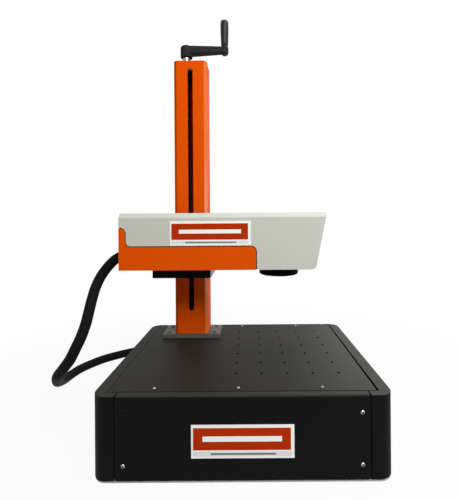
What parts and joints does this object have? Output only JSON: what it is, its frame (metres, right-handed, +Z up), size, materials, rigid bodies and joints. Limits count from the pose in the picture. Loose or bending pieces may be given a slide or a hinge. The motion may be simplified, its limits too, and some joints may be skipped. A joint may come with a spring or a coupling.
{
  "type": "laser marking machine",
  "caption": "Bench laser marking machine: black cabinet with a drilled work table, an orange column with a top hand crank, and a marking head with a scan lens over the table.",
  "frame": {"origin": "on the bench, under the middle of the cabinet's plan", "axes": "+X to the operator's right, +Y away from the operator, +Z up"},
  "size_m": [0.7609, 0.5642, 0.9743],
  "materials": {
    "powder_black": "fine-texture black powder coat on bent sheet steel",
    "table_black": "black anodised, bead-blasted plate",
    "anodised_black": "black anodised, machined",
    "signal_orange": "semi-gloss orange paint",
    "cover_grey": "semi-matt light grey paint on sheet",
    "bright_steel": "bright zinc or stainless",
    "black_steel": "black oxide",
    "plate_grey": "milled steel plate",
    "raw_aluminium": "machined",
    "bronze": "turned bearing bronze",
    "crank_grey": "glass-filled nylon, fine mould texture",
    "foot_rubber": "matt rubber",
    "hose_black": "smooth flexible conduit",
    "gland_black": "moulded nylon",
    "black_plastic": "moulded plastic",
    "board_green": "solder mask",
    "label_print": "printed polyester film",
    "lens_coating": "coated optical glass",
    "mirror_coating": "coated mirror"
  },
  "bodies": {
    "base": {"base_tray": "powder_black", "left_side_cover": "powder_black", "right_side_cover": "powder_black", "front_panel": "powder_black", "rear_panel": "powder_black", "top_plate": "table_black", "column_tube": "signal_orange", "top_plate_screws": "bright_steel", "front_panel_screws": "bright_steel", "rear_panel_screws": "bright_steel", "side_cover_screws": "bright_steel", "column_screws": "bright_steel", "front_rail": "bright_steel", "rear_rail": "bright_steel", "fan_guard": "bright_steel", "guide_rod": "bright_steel", "data_socket": "bright_steel", "power_supply": "bright_steel", "column_foot_plate": "plate_grey", "foot_plate_bolts": "plate_grey", "laser_source": "raw_aluminium", "top_bearing_block": "raw_aluminium", "bottom_bearing_block": "raw_aluminium", "top_bearing": "bronze", "rubber_feet": "foot_rubber", "conduit_hose": "hose_black", "base_hose_gland": "gland_black", "fan_frame": "black_plastic", "power_inlet": "black_plastic", "control_board": "board_green", "base_label": "label_print"},
    "lift": {"carriage_block": "raw_aluminium", "lead_nut": "bronze", "guide_bush": "bronze", "head_bracket": "anodised_black", "bracket_bolts": "bright_steel", "shelf_bolts": "bright_steel", "head_chassis": "signal_orange", "head_cover": "cover_grey", "head_cover_screws": "bright_steel", "head_hose_gland": "gland_black", "head_label": "label_print", "optics_bench": "raw_aluminium", "lens_barrel": "anodised_black", "lens_glass": "lens_coating", "lens_ring": "anodised_black", "galvo_block": "raw_aluminium", "x_galvo_motor": "anodised_black", "y_galvo_motor": "anodised_black", "beam_isolator": "anodised_black", "isolator_clamps": "raw_aluminium"},
    "crank": {"lead_screw": "bright_steel", "crank_arm": "crank_grey", "crank_set_screw": "black_steel", "grip_spindle": "bright_steel"},
    "grip": {"crank_grip": "crank_grey"},
    "x_scanner": {"x_mirror": "mirror_coating"},
    "y_scanner": {"y_mirror": "mirror_coating"},
    "fan": {"fan_rotor": "black_plastic"},
    "switch": {"power_rocker": "black_plastic"}
  },
  "joints": [
    {"name": "crank_spin", "type": "hinge", "parent": "base", "child": "crank", "pos_m": [-0.149, 0.1285, 0.894], "axis": [0, 0, -1], "range_deg": [-4500, 17700]},
    {"name": "lift_slide", "type": "slide", "parent": "base", "child": "lift", "axis": [0, 0, 1], "range_m": [-0.1005, 0.394], "deforming": ["conduit_hose"]},
    {"name": "grip_spin", "type": "hinge", "parent": "crank", "child": "grip", "pos_m": [-0.048, 0.1285, 0.94], "axis": [0, 0, 1], "continuous": true},
    {"name": "x_mirror_turn", "type": "hinge", "parent": "lift", "child": "x_scanner", "pos_m": [0.081, 0.032, 0.395], "axis": [0, 0, 1], "range_deg": [-12, 12]},
    {"name": "y_mirror_turn", "type": "hinge", "parent": "lift", "child": "y_scanner", "pos_m": [0.081, 0.012, 0.395], "axis": [1, 0, 0], "range_deg": [-12, 12]},
    {"name": "fan_spin", "type": "hinge", "parent": "base", "child": "fan", "pos_m": [0.14, 0.185, 0.062], "axis": [0, 1, 0], "continuous": true},
    {"name": "rocker_tilt", "type": "hinge", "parent": "base", "child": "switch", "pos_m": [-0.04, 0.196, 0.075], "axis": [1, 0, 0], "range_deg": [0, 16]}
  ],
  "couplings": [
    {"joint": "lift_slide", "follows": "crank_spin", "m_per_rad": 0.0012732}
  ]
}
